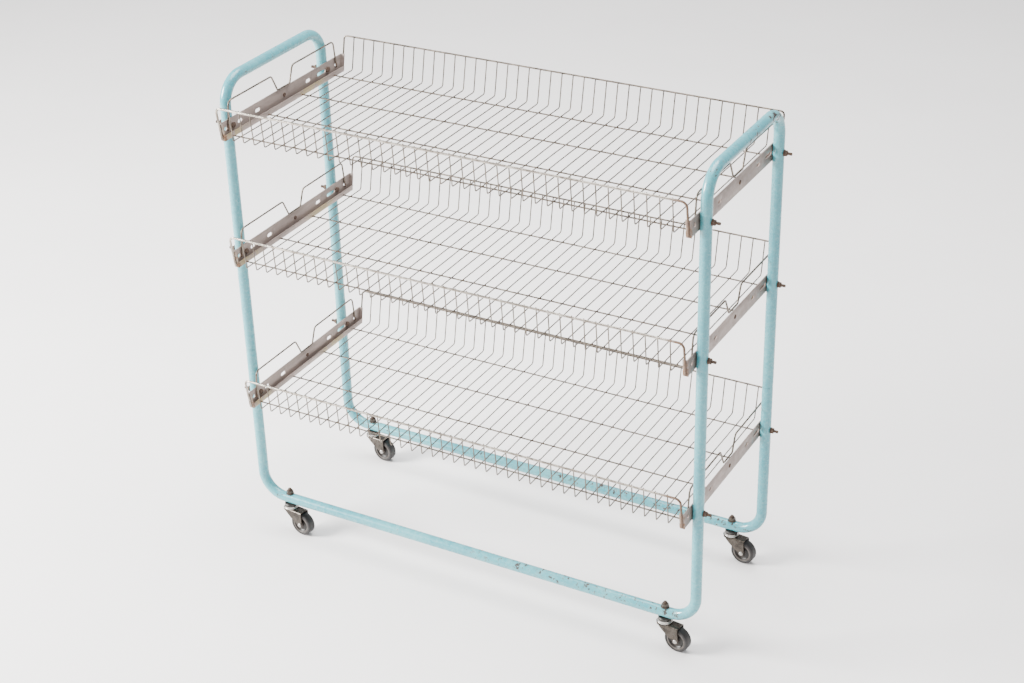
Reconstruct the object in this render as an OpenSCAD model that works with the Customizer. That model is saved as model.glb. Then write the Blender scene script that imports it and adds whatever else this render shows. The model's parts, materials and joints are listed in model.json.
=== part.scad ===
// Wire shelf cart: a knock-down frame of bent steel tube on four swivel casters,
// carrying three bolted-in shelves of welded wire. Millimetres, floor at Z = 0,
// +X to the cart's right, +Y to its back, origin under the middle of the cart.

/* [Frame] */
// Distance between the centres of the left and right tube hoops
frame_width = 1013; // [900:1:1100]
// Distance between the centres of the front and back legs
frame_depth = 330; // [330:1:340]
// Height of the centre of the handle rail at the top of each hoop
top_rail_z = 1020; // [1010:1:1080]
// Height of the centre of the base rails
base_rail_z = 80; // [79:1:84]
// Outside diameter of the tube
tube_d = 22; // [22:0.5:25]
// Wall thickness of the tube
tube_wall = 1.5; // [1:0.1:2]
// Radius of the tube's centre line at every corner
tube_bend_r = 52; // [45:1:60]
// Height of the joint where each hoop leg stands on its base rail leg
leg_joint_z = 432; // [425:1:480]

/* [Shelves] */
// Height of the bolts that hold the lower shelf
lower_bolt_z = 332; // [300:1:340]
// Height of the bolts that hold the middle shelf
middle_bolt_z = 660; // [620:1:680]
// Height of the bolts that hold the upper shelf
upper_bolt_z = 933; // [900:1:940]
// Number of thin wires that make the deck of a shelf
slat_count = 39; // [31:2:39]
// Distance from one deck wire to the next
slat_pitch = 24.4; // [20:0.1:24.4]
// Height of the wire rails and side guards above the bottom of the shelf
rail_h = 73; // [70:1:80]

/* [Wire] */
// Diameter of the front rail wire
front_rail_d = 4.5; // [4:0.1:5]
// Diameter of the back rail wire and of the side guards
guard_d = 3.5; // [3:0.1:4]
// Diameter of the wires that cross the shelf from side to side
cross_d = 3; // [2.5:0.1:3.5]
// Diameter of the deck wires
slat_d = 2.4; // [2:0.1:2.6]

/* [Brackets] */
// Height of the steel channel at each side of a shelf
bracket_h = 36; // [34:1:40]
// Width of the channel, across its bottom
bracket_w = 11; // [11:0.5:13]
// Thickness of the channel's sheet
sheet = 2; // [1.5:0.1:2]

/* [Casters] */
// Wheel diameter
wheel_d = 52; // [50:0.5:54]
// Wheel width
wheel_w = 19; // [17:0.5:19]
// Distance from each caster's swivel axis to the centre of the nearest legs
caster_inset = 64.5; // [62:0.5:90]
// Distance that the wheel trails behind the swivel axis
caster_trail = 30; // [24:0.5:34]
// Heading of the trailing wheels, counted from +X
caster_heading = -6; // [-20:1:20]

/* [Hidden] */
SHELF_PARTS = ["left_bracket", "right_bracket", "front_rail", "back_rail",
               "cross_wires", "slats", "left_guard", "right_guard"];
SHELVES = ["upper", "middle", "lower"];
CASTERS = ["front_left", "front_right", "back_left", "back_right"];

// Colours
PAINT = [0.55, 0.80, 0.82];
ZINC_SHEET = [0.60, 0.55, 0.51];
ZINC_WIRE = [0.62, 0.58, 0.52];
RUST = [0.33, 0.23, 0.18];
PLATED = [0.66, 0.64, 0.61];
DARK_STEEL = [0.22, 0.21, 0.20];
RIM_GREY = [0.38, 0.35, 0.33];
RUBBER = [0.16, 0.16, 0.17];

// Frame
tube_r = tube_d / 2;
bore_r = tube_r - tube_wall;
leg_x = frame_width / 2;
leg_y = frame_depth / 2;
leg_seam = 0.4;
sleeve_len = 96;
sleeve_wall = 1.5;
sleeve_gap = 0.05;
bend_overlap = 0.1;
bend_swell = 0.006;

// Shelves: a height counted from the bottom of a shelf is called a rise
SHELF_Z = [upper_bolt_z, middle_bolt_z, lower_bolt_z];
bolt_rise = 20;
weld = 0.1;
web_x = leg_x - tube_r;
web_in_x = web_x - sheet;
lip_x = web_x - bracket_w;
lip_h = 12;
fold_w = 10;
end_slope_front = tan(9);
end_slope_back = tan(12);
bracket_front_y = -leg_y - 36.5;
bracket_back_y = leg_y + 48;
HOLES = [
    [-leg_y - 23, 8],
    [-141, 14],
    [-82, 16],
    [94, 16],
    [143, 30],
    [leg_y + 31, 8]];
hole_d = 8;
rivet_y = 9;

front_rail_r = front_rail_d / 2;
guard_r = guard_d / 2;
cross_r = cross_d / 2;
slat_r = slat_d / 2;
front_rail_x = web_x - 4;
back_rail_x = web_x - 5.5;
rail_foot_rise = 3;
front_rail_bend_r = 11;
back_rail_bend_r = 8;
front_rail_off = front_rail_r / cos(9) - weld;
back_rail_off = guard_r / cos(12) - weld;
front_rail_y = bracket_front_y - end_slope_front * rail_h - front_rail_off;
back_rail_y = bracket_back_y + end_slope_back * rail_h + back_rail_off;

cross_rise = 4;
CROSS_Y = [-178, -60, 58, 176];
slat_rise = cross_rise + cross_r + slat_r - weld;
slat_foot_y = -leg_y - 41;
slat_top_front_y = front_rail_y + front_rail_r + slat_r - weld;
slat_top_back_y = back_rail_y - guard_r - slat_r + weld;
slat_heel_y = slat_top_back_y - end_slope_back * (rail_h + 2 - slat_rise);
slat_front_bend_r = 4;
slat_back_bend_r = 6;

guard_x = web_in_x - guard_r + weld / 2;
GUARD = [[-182, 14], [-174.6, rail_h], [-31.5, rail_h], [-14, 38],
         [28, 38], [41.5, rail_h], [188.9, rail_h], [196, 14]];
GUARD_BENDS = [12, 8, 5, 5, 10, 10];

// The cart's depth runs from rail to rail, so the legs stand a little forward of its middle
depth_mid_y = (front_rail_y - front_rail_r + back_rail_y + guard_r) / 2;

// Shelf bolts: M6
bolt_r = 3;
bolt_hole_r = 3.3;
bolt_head_h = 4;
bolt_tip_x = leg_x + 26.5;
nut_af = 10;
nut_h = 5;
washer_r = 6.5;
washer_t = 1.4;
thread_gap = 0.05;

// Casters: M8 stems
caster_x = leg_x - caster_inset;
wheel_r = wheel_d / 2;
rail_bottom_z = base_rail_z - tube_r;
rail_top_z = base_rail_z + tube_r;
stem_r = 4;
stem_hole_r = 4.3;
stem_tip_z = rail_top_z + 13;
stem_nut_af = 13;
stem_nut_h = 6.5;
stem_washer_r = 8.5;
stem_washer_t = 1.6;
race_r = 13.5;
race_top_z = rail_bottom_z;
ball_z = rail_bottom_z - 5.5;
ball_r = 2;
ball_ring_r = 9.5;
ball_count = 13;
groove_r = ball_r + 0.1;
cup_r = 15.5;
crown_r = 17;
crown_z = rail_bottom_z - 14;
crown_t = 2.5;
rivet_head_r = 6.5;
rivet_head_h = 2;
running_gap = 0.06;
fork_gap = wheel_w + 2.4;
fork_t = 2;
fork_boss_r = 6.5;
fork_front_x = caster_trail + 5;
fork_back_x = -11;
axle_r = 3;
axle_head_r = 4.6;
axle_head_h = 1.8;
hub_r = 20;
tyre_gap = 0.1;

function caster_side(i) = [i % 2 == 0 ? -1 : 1, i < 2 ? -1 : 1];
function heading(a, b) = atan2(b[1] - a[1], b[0] - a[0]);
function wrap(angle) = angle > 180 ? angle - 360 : angle < -180 ? angle + 360 : angle;
function turn_at(p, i) = wrap(heading(p[i], p[i + 1]) - heading(p[i - 1], p[i]));
function along(a, b, s) = a + (b - a) * s / norm(b - a);
function trimmed(p, bends, i) =
    i == 0 || i == len(p) - 1 ? 0 : bends[i - 1] * tan(abs(turn_at(p, i)) / 2);

// A round bar, or a tube when bore is above 0, bent along points in a plane.
// bends holds the centre line's radius at each inner point. Each bend reaches a
// hair past its straights and is a hair thicker, so that they overlap and join.
module bent_bar(points, bends, radius, bore = 0, fn = 24) {
    for (i = [0 : len(points) - 2]) {
        start = along(points[i], points[i + 1], trimmed(points, bends, i));
        end = along(points[i + 1], points[i], trimmed(points, bends, i + 1));
        translate([start[0], start[1], 0])
            rotate([0, 90, heading(start, end)])
                linear_extrude(norm(end - start))
                    bar_section(radius, bore, fn);
    }
    for (i = [1 : len(points) - 2]) {
        bend_r = bends[i - 1];
        turn = turn_at(points, i);
        side = turn > 0 ? 1 : -1;
        course = heading(points[i - 1], points[i]);
        start = along(points[i], points[i - 1], trimmed(points, bends, i));
        centre = start + side * bend_r * [-sin(course), cos(course)];
        reach = bend_overlap * radius / bend_r * 180 / PI;
        swell = bend_swell * radius;
        translate([centre[0], centre[1], 0])
            rotate(course - side * 90 + min(turn, 0) - reach)
                rotate_extrude(angle = abs(turn) + 2 * reach, $fn = fn * 4)
                    translate([bend_r, 0])
                        bar_section(radius + swell, bore - swell, fn);
    }
}

module bar_section(radius, bore, fn) {
    difference() {
        circle(radius, $fn = fn);
        if (bore > 0)
            circle(bore, $fn = fn);
    }
}

// Drawings made in a plane are stood up: local X, Y and Z become Y, Z and X
module stand_side() { rotate([90, 0, 90]) children(); }
// Local X, Y and Z become X, Z and -Y
module stand_front() { rotate([90, 0, 0]) children(); }
module placed() { translate([0, -depth_mid_y, 0]) children(); }
module rod_x(radius, from_x, to_x) {
    translate([from_x, 0, 0])
        rotate([0, 90, 0])
            cylinder(r = radius, h = to_x - from_x, $fn = 40);
}

// FRAME

module hoop(side) {
    legs_z = leg_joint_z + leg_seam / 2;
    path = [[-leg_y, legs_z], [-leg_y, top_rail_z], [leg_y, top_rail_z], [leg_y, legs_z]];
    color(PAINT)
        placed()
            difference() {
                translate([side * leg_x, 0, 0])
                    stand_side()
                        bent_bar(path, [tube_bend_r, tube_bend_r], tube_r, bore_r, 64);
                for (z = [middle_bolt_z, upper_bolt_z], y = [-leg_y, leg_y])
                    translate([side * leg_x, y, z])
                        rod_x(bolt_hole_r, -tube_d, tube_d);
            }
}

module base_rail(side) {
    legs_z = leg_joint_z - leg_seam / 2;
    path = [[-leg_x, legs_z], [-leg_x, base_rail_z], [leg_x, base_rail_z], [leg_x, legs_z]];
    color(PAINT)
        placed()
            translate([0, side * leg_y, 0])
                difference() {
                    stand_front()
                        bent_bar(path, [tube_bend_r, tube_bend_r], tube_r, bore_r, 64);
                    for (s = [-1, 1]) {
                        translate([s * leg_x, 0, lower_bolt_z])
                            rod_x(bolt_hole_r, -tube_d, tube_d);
                        translate([s * caster_x, 0, base_rail_z - tube_d])
                            cylinder(r = stem_hole_r, h = 2 * tube_d, $fn = 40);
                    }
                }
}

module joint_sleeves() {
    color(DARK_STEEL)
        placed()
            for (sx = [-1, 1], sy = [-1, 1])
                translate([sx * leg_x, sy * leg_y, leg_joint_z - sleeve_len / 2])
                    difference() {
                        cylinder(r = bore_r - sleeve_gap, h = sleeve_len, $fn = 64);
                        translate([0, 0, -1])
                            cylinder(r = bore_r - sleeve_wall, h = sleeve_len + 2, $fn = 64);
                    }
}

// SHELVES

module at_shelf(level) { translate([0, 0, SHELF_Z[level] - bolt_rise]) children(); }
module to_side(side) { mirror([side < 0 ? 1 : 0, 0, 0]) children(); }

function front_edge_y(rise) = bracket_front_y - end_slope_front * rise;
function back_edge_y(rise) = bracket_back_y + end_slope_back * rise;

// A plate drawn by its outline in Y and Z, from one X to another
module side_plate(outline, from_x, to_x) {
    translate([from_x, 0, 0])
        stand_side()
            linear_extrude(to_x - from_x)
                polygon(outline);
}

// The outline of a flap that runs from inside one end fold to inside the other
function long_flap(height) = [
    [front_edge_y(0) + sheet / 2, 0],
    [front_edge_y(height) + sheet / 2, height],
    [back_edge_y(height) - sheet / 2, height],
    [back_edge_y(0) - sheet / 2, 0]];

module slot_hole(length) {
    half = (length - hole_d) / 2;
    translate([0, -half, 0])
        rod_x(hole_d / 2, -sheet, 2 * sheet);
    if (half > 0) {
        translate([0, half, 0])
            rod_x(hole_d / 2, -sheet, 2 * sheet);
        translate([-sheet, -half, -hole_d / 2])
            cube([3 * sheet, 2 * half, hole_d]);
    }
}

// Channel of folded sheet: a web against the legs, a floor, a lip that carries the
// cross wires, and a fold across each end that carries the rails
module bracket(level, side) {
    front_t = sheet / cos(9);
    back_t = sheet / cos(12);
    color(ZINC_SHEET)
        placed()
            at_shelf(level)
                to_side(side)
                    difference() {
                        union() {
                            side_plate([
                                [front_edge_y(0), 0],
                                [front_edge_y(bracket_h), bracket_h],
                                [back_edge_y(bracket_h), bracket_h],
                                [back_edge_y(0), 0]], web_in_x, web_x);
                            side_plate([
                                [front_edge_y(0), 0],
                                [front_edge_y(bracket_h), bracket_h],
                                [front_edge_y(bracket_h) + front_t, bracket_h],
                                [front_edge_y(0) + front_t, 0]], web_x - fold_w, web_in_x);
                            side_plate([
                                [back_edge_y(0), 0],
                                [back_edge_y(bracket_h), bracket_h],
                                [back_edge_y(bracket_h) - back_t, bracket_h],
                                [back_edge_y(0) - back_t, 0]], web_x - fold_w, web_in_x);
                            side_plate(long_flap(sheet), lip_x, web_x - sheet / 2);
                            side_plate(long_flap(lip_h), lip_x, lip_x + sheet);
                        }
                        for (h = HOLES)
                            translate([web_in_x, h[0], bolt_rise])
                                slot_hole(h[1]);
                        for (y = [-leg_y, leg_y])
                            translate([web_in_x, y, bolt_rise])
                                rod_x(bolt_hole_r, -sheet, 2 * sheet);
                        translate([web_in_x, rivet_y, bolt_rise])
                            rod_x(bolt_r + thread_gap, -sheet, 2 * sheet);
                    }
}

// A rail is a wire bent into a wide U: its two feet stand on the end folds of the
// brackets and lean outwards with them
module rail(level, half_x, foot_y, top_y, bend_r, radius, lean) {
    rise = (rail_h - rail_foot_rise) / cos(lean);
    path = [[-half_x, 0], [-half_x, rise], [half_x, rise], [half_x, 0]];
    color(ZINC_WIRE)
        placed()
            at_shelf(level)
                translate([0, foot_y, rail_foot_rise])
                    rotate([top_y < foot_y ? lean : -lean, 0, 0])
                        stand_front()
                            bent_bar(path, [bend_r, bend_r], radius);
}

module front_rail(level) {
    foot_y = front_rail_y + end_slope_front * (rail_h - rail_foot_rise);
    rail(level, front_rail_x, foot_y, front_rail_y, front_rail_bend_r, front_rail_r, 9);
}

module back_rail(level) {
    foot_y = back_rail_y - end_slope_back * (rail_h - rail_foot_rise);
    rail(level, back_rail_x, foot_y, back_rail_y, back_rail_bend_r, guard_r, 12);
}

module cross_wires(level) {
    color(ZINC_WIRE)
        placed()
            at_shelf(level)
                for (y = CROSS_Y)
                    translate([0, y, cross_rise])
                        rod_x(cross_r, -lip_x, lip_x);
}

// Each deck wire rises behind the front rail, crosses on top of the cross wires and
// rises again in front of the back rail
module slats(level) {
    top = rail_h + 2;
    path = [[slat_top_front_y, top], [slat_foot_y, slat_rise],
            [slat_heel_y, slat_rise], [slat_top_back_y, top]];
    color(ZINC_WIRE)
        placed()
            at_shelf(level)
                for (k = [0 : slat_count - 1])
                    translate([(k - (slat_count - 1) / 2) * slat_pitch, 0, 0])
                        stand_side()
                            bent_bar(path, [slat_front_bend_r, slat_back_bend_r], slat_r);
}

// Each guard is one wire bent into two humps
module side_guard(level, side) {
    color(ZINC_WIRE)
        placed()
            at_shelf(level)
                to_side(side)
                    translate([guard_x, 0, 0])
                        stand_side()
                            bent_bar(GUARD, GUARD_BENDS, guard_r);
}

// SHELF FASTENERS

module at_shelf_bolts() {
    placed()
        for (z = SHELF_Z, side = [-1, 1], y = [-leg_y, leg_y])
            to_side(side)
                translate([0, y, z])
                    children();
}

module hex_x(across_flats, from_x, to_x) {
    translate([from_x, 0, 0])
        rotate([0, 90, 0])
            cylinder(r = across_flats / 2 / cos(30), h = to_x - from_x, $fn = 6);
}

module shelf_bolts() {
    color(RUST)
        at_shelf_bolts() {
            hex_x(nut_af, web_in_x - bolt_head_h, web_in_x);
            rod_x(bolt_r, web_in_x, bolt_tip_x);
        }
}

module shelf_washers() {
    color(RUST)
        at_shelf_bolts()
            difference() {
                rod_x(washer_r, leg_x + tube_r, leg_x + tube_r + washer_t);
                rod_x(bolt_hole_r, leg_x, bolt_tip_x);
            }
}

module shelf_nuts() {
    nut_x = leg_x + tube_r + washer_t;
    color(RUST)
        at_shelf_bolts()
            difference() {
                hex_x(nut_af, nut_x, nut_x + nut_h);
                rod_x(bolt_r + thread_gap, leg_x, bolt_tip_x);
            }
}

module bracket_rivets() {
    color(RUST)
        placed()
            for (z = SHELF_Z, side = [-1, 1])
                to_side(side)
                    translate([0, rivet_y, z]) {
                        rod_x(4.5, web_x, web_x + 1.5);
                        rod_x(bolt_r, web_in_x, web_x);
                        rod_x(4, web_in_x - 1.2, web_in_x);
                    }
}

// CASTERS

module at_caster(i) {
    side = caster_side(i);
    placed()
        translate([side[0] * caster_x, side[1] * leg_y, 0])
            rotate(caster_heading)
                children();
}
module at_casters() {
    for (i = [0 : len(CASTERS) - 1])
        at_caster(i)
            children();
}
module at_axle(i) {
    at_caster(i)
        translate([caster_trail, 0, wheel_r])
            rotate([90, 0, 0])
                children();
}
module centred(radius, height) {
    cylinder(r = radius, h = height, center = true, $fn = 72);
}

// The stem is fixed to the rail. Its bottom end is riveted over under the fork's crown
module caster_stems() {
    bottom = crown_z - rivet_head_h - running_gap;
    color(PLATED)
        at_casters() {
            translate([0, 0, bottom])
                cylinder(r = rivet_head_r, h = rivet_head_h, $fn = 48);
            translate([0, 0, bottom + rivet_head_h])
                cylinder(r = stem_r, h = stem_tip_z - bottom - rivet_head_h, $fn = 48);
        }
}

module ball_groove() {
    translate([0, 0, ball_z])
        rotate_extrude($fn = 96)
            translate([ball_ring_r, 0])
                circle(groove_r, $fn = 32);
}

module caster_races() {
    color(DARK_STEEL)
        at_casters()
            difference() {
                translate([0, 0, ball_z + 0.4])
                    cylinder(r = race_r, h = race_top_z - ball_z - 0.4, $fn = 96);
                translate([0, 0, ball_z])
                    cylinder(r = stem_r + thread_gap, h = 3 * ball_r + 1, $fn = 48);
                ball_groove();
            }
}

module caster_balls() {
    color(PLATED)
        at_casters()
            for (k = [1 : ball_count])
                rotate(k * 360 / ball_count)
                    translate([ball_ring_r, 0, ball_z])
                        sphere(ball_r, $fn = 32);
}

// The cup is pressed onto the fork's crown and turns with it
module cup(i) {
    base = crown_z + crown_t;
    color(PLATED)
        at_caster(i)
            difference() {
                union() {
                    translate([0, 0, base])
                        cylinder(r = cup_r, h = 3.2, $fn = 96);
                    translate([0, 0, base + 3.2])
                        cylinder(r = cup_r - 1.5, h = ball_z - 0.4 - base - 3.2, $fn = 96);
                }
                translate([0, 0, base - 1])
                    cylinder(r = stem_r + running_gap, h = 12, $fn = 48);
                ball_groove();
            }
}

module caster_washers() {
    color(RUST)
        at_casters()
            difference() {
                translate([0, 0, rail_top_z])
                    cylinder(r = stem_washer_r, h = stem_washer_t, $fn = 64);
                translate([0, 0, base_rail_z])
                    cylinder(r = stem_hole_r, h = tube_d, $fn = 48);
            }
}

module caster_nuts() {
    color(RUST)
        at_casters()
            difference() {
                translate([0, 0, rail_top_z + stem_washer_t])
                    cylinder(r = stem_nut_af / 2 / cos(30), h = stem_nut_h, $fn = 6);
                translate([0, 0, rail_top_z])
                    cylinder(r = stem_r + thread_gap, h = tube_d, $fn = 48);
            }
}

// A leg of the fork narrows from the crown to a round boss at the axle
function boss_tangent(point, side) =
    let (
        arm = [caster_trail, wheel_r] - point,
        reach = norm(arm),
        lean = asin(fork_boss_r / reach),
        run = sqrt(reach * reach - fork_boss_r * fork_boss_r),
        course = heading(point, [caster_trail, wheel_r]) + side * lean)
    point + run * [cos(course), sin(course)];

// The strap's crown reaches from behind the stem to above the wheel
module crown_outline() {
    intersection() {
        union() {
            circle(crown_r, $fn = 96);
            translate([0, -crown_r])
                square([fork_front_x, 2 * crown_r]);
        }
        translate([-crown_r, -fork_gap / 2 - fork_t])
            square([crown_r + fork_front_x, fork_gap + 2 * fork_t]);
    }
}

module fork(i) {
    back = [fork_back_x, crown_z + crown_t];
    front = [fork_front_x, crown_z + crown_t];
    color(PLATED)
        at_caster(i)
            difference() {
                union() {
                    translate([0, 0, crown_z])
                        linear_extrude(crown_t)
                            crown_outline();
                    for (y = [-fork_gap / 2 - fork_t, fork_gap / 2])
                        translate([0, y + fork_t, 0])
                            stand_front()
                                linear_extrude(fork_t) {
                                    polygon([back, boss_tangent(back, -1),
                                             [caster_trail, wheel_r],
                                             boss_tangent(front, 1), front]);
                                    translate([caster_trail, wheel_r])
                                        circle(fork_boss_r, $fn = 64);
                                }
                }
                translate([0, 0, crown_z - 1])
                    cylinder(r = stem_r + running_gap, h = crown_t + 2, $fn = 48);
                translate([caster_trail, 0, wheel_r])
                    rotate([90, 0, 0])
                        centred(axle_r + thread_gap, 2 * fork_gap);
            }
}

module axle(i) {
    half = fork_gap / 2 + fork_t;
    color(PLATED)
        at_axle(i) {
            centred(axle_r, 2 * half);
            for (s = [-1, 1])
                translate([0, 0, s * (half + axle_head_h / 2)])
                    centred(axle_head_r, axle_head_h);
        }
}

// The hub is a web between a thick rim and a boss that turns on the axle
module hub(i) {
    color(RIM_GREY)
        at_axle(i)
            rotate_extrude($fn = 96)
                polygon([
                    [axle_r + running_gap, -fork_gap / 2 + 0.4],
                    [6.5, -fork_gap / 2 + 0.4],
                    [6.5, -4], [15, -4],
                    [16.5, -wheel_w / 2 + 1], [hub_r, -wheel_w / 2 + 0.4],
                    [hub_r, wheel_w / 2 - 0.4], [16.5, wheel_w / 2 - 1],
                    [15, 4], [6.5, 4],
                    [6.5, fork_gap / 2 - 0.4],
                    [axle_r + running_gap, fork_gap / 2 - 0.4]]);
}

module tyre(i) {
    bore = hub_r + tyre_gap;
    shoulder = (wheel_r - bore) / 2 - 0.05;
    half = wheel_w / 2;
    color(RUBBER)
        at_axle(i)
            rotate_extrude($fn = 128) {
                translate([bore, -half])
                    square([wheel_r - shoulder - bore, wheel_w]);
                translate([wheel_r - shoulder, -half + shoulder])
                    square([shoulder, wheel_w - 2 * shoulder]);
                for (s = [-1, 1])
                    translate([wheel_r - shoulder, s * (half - shoulder)])
                        circle(shoulder, $fn = 48);
            }
}

// PLACING

module shelf_part(level, kind) {
    if (kind == "left_bracket") bracket(level, -1);
    if (kind == "right_bracket") bracket(level, 1);
    if (kind == "front_rail") front_rail(level);
    if (kind == "back_rail") back_rail(level);
    if (kind == "cross_wires") cross_wires(level);
    if (kind == "slats") slats(level);
    if (kind == "left_guard") side_guard(level, -1);
    if (kind == "right_guard") side_guard(level, 1);
}

module caster_part(i, kind) {
    if (kind == "fork") fork(i);
    if (kind == "cup") cup(i);
    if (kind == "axle") axle(i);
    if (kind == "hub") hub(i);
    if (kind == "tyre") tyre(i);
}

hoop(-1);  // left_hoop
hoop(1);  // right_hoop
base_rail(-1);  // front_base_rail
base_rail(1);  // back_base_rail
joint_sleeves();
for (level = [0 : 2], kind = SHELF_PARTS)
    shelf_part(level, kind);
shelf_bolts();
shelf_washers();
shelf_nuts();
bracket_rivets();
caster_stems();
caster_races();
caster_washers();
caster_nuts();
caster_balls();
for (i = [0 : 3], kind = ["fork", "cup", "axle", "hub", "tyre"])
    caster_part(i, kind);
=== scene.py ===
"""Looks for the wire shelf cart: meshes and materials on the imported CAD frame, in metres."""
import json
import math
import random

import bmesh
import bpy
from mathutils import Matrix, Vector, noise


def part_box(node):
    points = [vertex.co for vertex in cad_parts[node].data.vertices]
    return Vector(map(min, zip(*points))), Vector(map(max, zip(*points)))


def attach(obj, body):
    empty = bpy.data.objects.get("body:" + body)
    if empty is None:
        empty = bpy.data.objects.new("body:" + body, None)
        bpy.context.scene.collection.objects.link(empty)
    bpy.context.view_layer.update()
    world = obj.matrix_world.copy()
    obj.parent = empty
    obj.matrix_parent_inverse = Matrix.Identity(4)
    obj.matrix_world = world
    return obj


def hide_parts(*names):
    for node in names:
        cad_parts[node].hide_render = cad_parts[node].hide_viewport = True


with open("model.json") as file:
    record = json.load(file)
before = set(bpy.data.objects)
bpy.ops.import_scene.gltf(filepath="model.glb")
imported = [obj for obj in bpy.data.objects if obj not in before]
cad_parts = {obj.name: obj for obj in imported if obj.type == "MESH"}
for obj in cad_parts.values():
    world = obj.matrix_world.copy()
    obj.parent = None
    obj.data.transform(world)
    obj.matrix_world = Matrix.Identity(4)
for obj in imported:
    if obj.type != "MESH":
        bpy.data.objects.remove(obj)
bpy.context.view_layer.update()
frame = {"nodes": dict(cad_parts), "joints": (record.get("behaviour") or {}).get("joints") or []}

MM = 0.001
SHELVES = ("upper", "middle", "lower")
SIDES = {"left": -1, "right": 1}
CASTERS = ("front_left", "front_right", "back_left", "back_right")
ROOT = "cart"

# The noise module takes its seed from the clock unless it is given one
noise.seed_set(4)

# ---------------------------------------------------------------- places, from the frame

hoop_low, hoop_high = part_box("left_hoop")
TUBE_R = 11 * MM
TUBE_WALL = 1.5 * MM
TUBE_BEND = 52 * MM
LEG_X = -(hoop_low.x + hoop_high.x) / 2
LEG_FRONT_Y = hoop_low.y + TUBE_R
LEG_BACK_Y = hoop_high.y - TUBE_R
LEG_MID_Y = (LEG_FRONT_Y + LEG_BACK_Y) / 2
TOP_RAIL_Z = hoop_high.z - TUBE_R
BASE_RAIL_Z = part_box("front_base_rail")[0].z + TUBE_R
LEG_JOINT_Z = hoop_low.z
BASE_LEG_TOP_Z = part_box("front_base_rail")[1].z
SHELF_Z = {level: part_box(f"{level}_left_bracket")[0].z for level in SHELVES}

WEB_X = LEG_X - TUBE_R
SHEET = 2 * MM
WEB_IN_X = WEB_X - SHEET
LIP_X = WEB_X - 11 * MM
LIP_H = 12 * MM
BRACKET_H = 36 * MM
FOLD_W = 10 * MM
BOLT_RISE = 20 * MM
FRONT_LEAN = math.radians(9)
BACK_LEAN = math.radians(12)

FRONT_RAIL_R = 2.25 * MM
GUARD_R = 1.75 * MM
CROSS_R = 1.5 * MM
SLAT_R = 1.2 * MM
SLAT_COUNT = 39
SLAT_PITCH = 24.4 * MM
CROSS_RISE = 4 * MM
RAIL_RISE = 73 * MM
RAIL_FOOT_RISE = 3 * MM
CROSS_YS = [LEG_MID_Y + y * MM for y in (-178, -60, 58, 176)]
WELD = 0.1 * MM


def lower_corner(node):
    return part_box(node)[0]


def upper_corner(node):
    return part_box(node)[1]


# ---------------------------------------------------------------- mesh building


class Build:
    """Vertices and faces of one piece, with a value from 0 to 1 for each vertex: rust and wear,
    and on the wheel hub a painted shade in its recess.
    """

    def __init__(self):
        self.verts, self.faces, self.wear_and_shade = [], [], []

    def add(self, verts, faces, wear_and_shade=None):
        first = len(self.verts)
        self.verts += [Vector(v) for v in verts]
        self.faces += [[first + i for i in face] for face in faces]
        self.wear_and_shade += list(wear_and_shade) if wear_and_shade is not None else [0.0] * len(verts)

    def placed(self, matrix):
        out = Build()
        out.verts = [matrix @ v for v in self.verts]
        out.faces = [list(f) for f in self.faces]
        out.wear_and_shade = list(self.wear_and_shade)
        return out


def make_mesh(name, build):
    mesh = bpy.data.meshes.new(name)
    mesh.from_pydata([tuple(v) for v in build.verts], [], build.faces)
    mesh.update()
    # The per-vertex value holds rust and wear, and on the wheel hub the mask of its painted recess
    # shade.
    values = mesh.attributes.new("wear_and_shade", "FLOAT", "POINT")
    values.data.foreach_set("value", build.wear_and_shade)
    return mesh


def show(name, mesh, body, nodes, material, sharp=40):
    """Puts a mesh on a CAD body in place of CAD nodes."""
    mesh.shade_smooth()
    mesh.set_sharp_from_angle(angle=math.radians(sharp))
    piece = bpy.data.objects.new(name, mesh)
    bpy.context.scene.collection.objects.link(piece)
    mesh.materials.append(material)
    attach(piece, body)
    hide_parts(*nodes)
    return piece


def rounded(points, bends, step, arc_step=math.radians(9)):
    """A dense centre line through points, with an arc of the given radius at each inner point."""
    points = [Vector(p) for p in points]
    line, start = [points[0]], points[0]
    for i in range(1, len(points)):
        corner = points[i]
        course = (corner - points[i - 1]).normalized()
        last = i == len(points) - 1
        if last:
            end = corner
        else:
            onward = (points[i + 1] - corner).normalized()
            turn = course.angle(onward)
            end = corner - course * bends[i - 1] * math.tan(turn / 2)
        count = max(1, round((end - start).length / step))
        line += [start.lerp(end, k / count) for k in range(1, count + 1)]
        if last:
            break
        axis = course.cross(onward).normalized()
        centre = end + axis.cross(course) * bends[i - 1]
        count = max(2, math.ceil(turn / arc_step))
        for k in range(1, count + 1):
            line.append(centre + Matrix.Rotation(turn * k / count, 3, axis) @ (end - centre))
        start = line[-1]
    return line


def carried_frames(line):
    """An across and an up vector for each point of a line, turning as little as they can."""
    courses = []
    for i in range(len(line)):
        a, b = line[max(i - 1, 0)], line[min(i + 1, len(line) - 1)]
        courses.append((b - a).normalized())
    seed = Vector((1, 0, 0)) if abs(courses[0].x) < 0.9 else Vector((0, 1, 0))
    across = courses[0].cross(seed).normalized()
    frames = []
    for i, course in enumerate(courses):
        if i:
            across = courses[i - 1].rotation_difference(course) @ across
            across = (across - course * across.dot(course)).normalized()
        frames.append((across, course.cross(across)))
    return frames


def ring_faces(rings, sides, base=0):
    faces = []
    for r in range(rings - 1):
        for s in range(sides):
            a, b = base + r * sides + s, base + r * sides + (s + 1) % sides
            faces.append([a, b, b + sides, a + sides])
    return faces


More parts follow.
